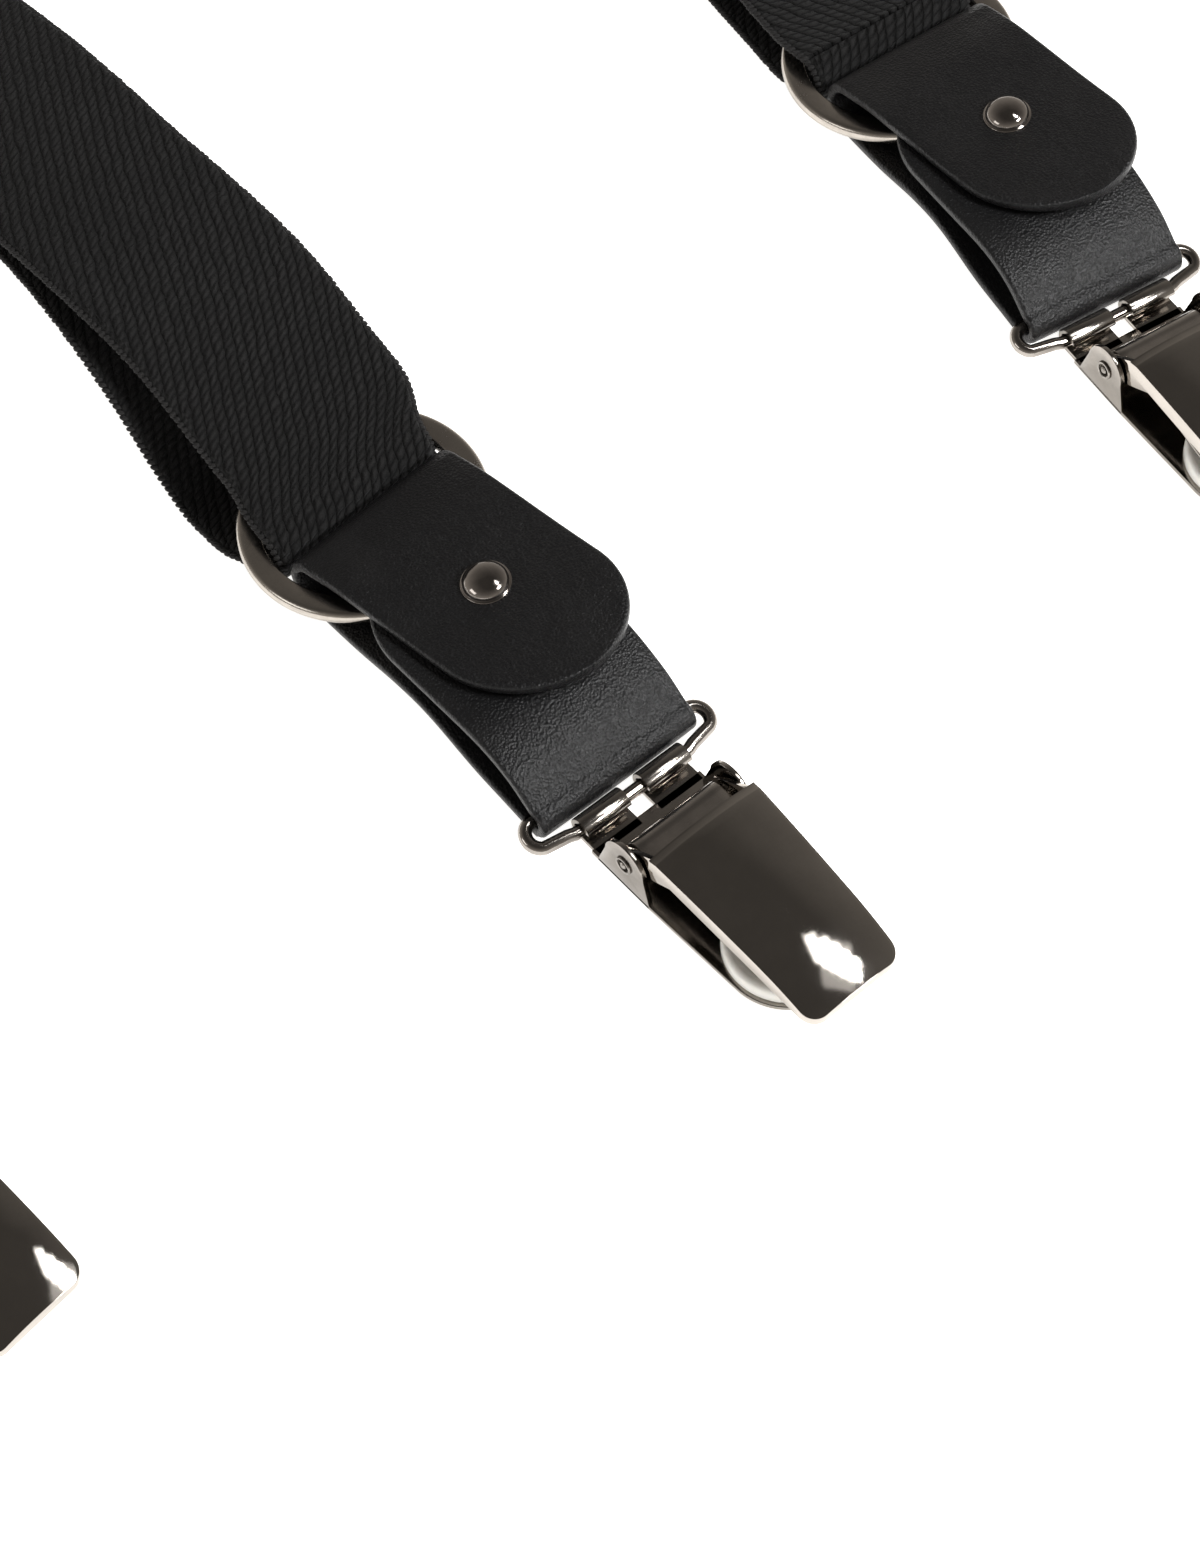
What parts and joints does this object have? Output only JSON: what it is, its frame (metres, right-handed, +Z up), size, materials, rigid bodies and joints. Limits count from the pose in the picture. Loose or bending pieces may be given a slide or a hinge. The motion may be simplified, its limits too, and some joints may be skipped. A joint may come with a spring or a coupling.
{
  "type": "clip-on Y-back braces",
  "caption": "Black elastic Y-back braces lying flat, with leather tabs, plain rings and hinged metal clips on the back strap and both front straps.",
  "frame": {"origin": "centre of the footprint, on the plane that the braces lie on", "axes": "+Z up off the table, +Y from the clips to the shoulder rolls, +X from the left front strap to the right one"},
  "size_m": [0.4054, 0.5804, 0.0276],
  "materials": {
    "webbing": "matte black twill",
    "leather": "smooth matte black",
    "mirror_metal": "mirror polished, dark and slightly warm",
    "satin_metal": "satin nickel",
    "pad": "creamy white nylon"
  },
  "bodies": {
    "straps": {"back_strap": "webbing", "front_strap_left": "webbing", "front_strap_right": "webbing", "shoulder_turn_left": "webbing", "shoulder_turn_right": "webbing", "return_run_left": "webbing", "return_run_right": "webbing", "patch_back": "leather", "patch_front": "leather"},
    "tab_back": {"leather_tab_back": "leather", "rivet_cap_back": "mirror_metal", "rivet_post_back": "satin_metal"},
    "ring_back": {"ring_back": "satin_metal"},
    "loop_back": {"clip_loop_back": "mirror_metal"},
    "base_back": {"base_plate_back": "mirror_metal", "hinge_pin_back": "satin_metal", "grip_pad_back": "pad"},
    "cover_back": {"cover_lever_back": "mirror_metal"},
    "jaw_back": {"jaw_leaf_back": "satin_metal"},
    "tab_left": {"leather_tab_left": "leather", "rivet_cap_left": "mirror_metal", "rivet_post_left": "satin_metal"},
    "ring_left": {"ring_left": "satin_metal"},
    "loop_left": {"clip_loop_left": "mirror_metal"},
    "base_left": {"base_plate_left": "mirror_metal", "hinge_pin_left": "satin_metal", "grip_pad_left": "pad"},
    "cover_left": {"cover_lever_left": "mirror_metal"},
    "jaw_left": {"jaw_leaf_left": "satin_metal"},
    "tab_right": {"leather_tab_right": "leather", "rivet_cap_right": "mirror_metal", "rivet_post_right": "satin_metal"},
    "ring_right": {"ring_right": "satin_metal"},
    "loop_right": {"clip_loop_right": "mirror_metal"},
    "base_right": {"base_plate_right": "mirror_metal", "hinge_pin_right": "satin_metal", "grip_pad_right": "pad"},
    "cover_right": {"cover_lever_right": "mirror_metal"},
    "jaw_right": {"jaw_leaf_right": "satin_metal"},
    "adjuster_left": {"adjuster_frame_left": "satin_metal", "adjuster_bar_left": "satin_metal"},
    "adjuster_right": {"adjuster_frame_right": "satin_metal", "adjuster_bar_right": "satin_metal"}
  },
  "joints": [
    {"name": "tab_lift_back", "type": "hinge", "parent": "straps", "child": "tab_back", "pos_m": [-0.00731, -0.17612, 0.00689], "axis": [-1, 0, 0], "range_deg": [-10, 4]},
    {"name": "ring_spin_back", "type": "hinge", "parent": "tab_back", "child": "ring_back", "pos_m": [-0.00731, -0.18139, 0.00767], "axis": [-0.1043, 0.061, 0.9927], "continuous": true},
    {"name": "loop_swing_back", "type": "hinge", "parent": "tab_back", "child": "loop_back", "pos_m": [-0.00731, -0.23769, 0.00355], "axis": [-1, 0, 0], "range_deg": [-30, 30]},
    {"name": "clip_swing_back", "type": "hinge", "parent": "loop_back", "child": "base_back", "pos_m": [-0.00731, -0.24299, 0.0025], "axis": [-1, 0, 0], "range_deg": [-30, 25]},
    {"name": "cover_open_back", "type": "hinge", "parent": "base_back", "child": "cover_back", "pos_m": [-0.00731, -0.25299, 0.00595], "axis": [-1, 0, 0], "range_deg": [0, 90]},
    {"name": "jaw_open_back", "type": "hinge", "parent": "base_back", "child": "jaw_back", "pos_m": [-0.00731, -0.25299, 0.00595], "axis": [-1, 0, 0], "range_deg": [0, 15]},
    {"name": "tab_lift_left", "type": "hinge", "parent": "straps", "child": "tab_left", "pos_m": [-0.13496, -0.14216, 0.00689], "axis": [-0.9925, -0.1219, 0], "range_deg": [-4, 4]},
    {"name": "ring_spin_left", "type": "hinge", "parent": "tab_left", "child": "ring_left", "pos_m": [-0.13431, -0.14739, 0.00767], "axis": [-0.111, 0.0479, 0.9927], "continuous": true},
    {"name": "loop_swing_left", "type": "hinge", "parent": "tab_left", "child": "loop_left", "pos_m": [-0.12745, -0.20327, 0.00355], "axis": [-0.9925, -0.1219, 0], "range_deg": [-30, 30]},
    {"name": "clip_swing_left", "type": "hinge", "parent": "loop_left", "child": "base_left", "pos_m": [-0.12681, -0.20853, 0.0025], "axis": [-0.9925, -0.1219, 0], "range_deg": [-30, 25]},
    {"name": "cover_open_left", "type": "hinge", "parent": "base_left", "child": "cover_left", "pos_m": [-0.12559, -0.21846, 0.00595], "axis": [-0.9925, -0.1219, 0], "range_deg": [0, 90]},
    {"name": "jaw_open_left", "type": "hinge", "parent": "base_left", "child": "jaw_left", "pos_m": [-0.12559, -0.21846, 0.00595], "axis": [-0.9925, -0.1219, 0], "range_deg": [0, 15]},
    {"name": "tab_lift_right", "type": "hinge", "parent": "straps", "child": "tab_right", "pos_m": [0.12051, -0.16019, 0.00689], "axis": [-0.9877, 0.1564, 0], "range_deg": [-4, 4]},
    {"name": "ring_spin_right", "type": "hinge", "parent": "tab_right", "child": "ring_right", "pos_m": [0.11969, -0.16539, 0.00767], "axis": [-0.0935, 0.0766, 0.9927], "continuous": true},
    {"name": "loop_swing_right", "type": "hinge", "parent": "tab_right", "child": "loop_right", "pos_m": [0.11088, -0.221, 0.00355], "axis": [-0.9877, 0.1564, 0], "range_deg": [-30, 30]},
    {"name": "clip_swing_right", "type": "hinge", "parent": "loop_right", "child": "base_right", "pos_m": [0.11005, -0.22623, 0.0025], "axis": [-0.9877, 0.1564, 0], "range_deg": [-30, 25]},
    {"name": "cover_open_right", "type": "hinge", "parent": "base_right", "child": "cover_right", "pos_m": [0.10848, -0.23611, 0.00595], "axis": [-0.9877, 0.1564, 0], "range_deg": [0, 90]},
    {"name": "jaw_open_right", "type": "hinge", "parent": "base_right", "child": "jaw_right", "pos_m": [0.10848, -0.23611, 0.00595], "axis": [-0.9877, 0.1564, 0], "range_deg": [0, 15]},
    {"name": "adjuster_slide_left", "type": "slide", "parent": "straps", "child": "adjuster_left", "axis": [0.1219, -0.9925, 0], "range_m": [-0.07, 0.08], "deforming": ["return_run_left"]},
    {"name": "adjuster_slide_right", "type": "slide", "parent": "straps", "child": "adjuster_right", "axis": [-0.1564, -0.9877, 0], "range_m": [-0.07, 0.08], "deforming": ["return_run_right"]}
  ],
  "couplings": [
    {"joint": "jaw_open_back", "follows": "cover_open_back", "ratio": 0.15},
    {"joint": "jaw_open_left", "follows": "cover_open_left", "ratio": 0.15},
    {"joint": "jaw_open_right", "follows": "cover_open_right", "ratio": 0.15}
  ]
}
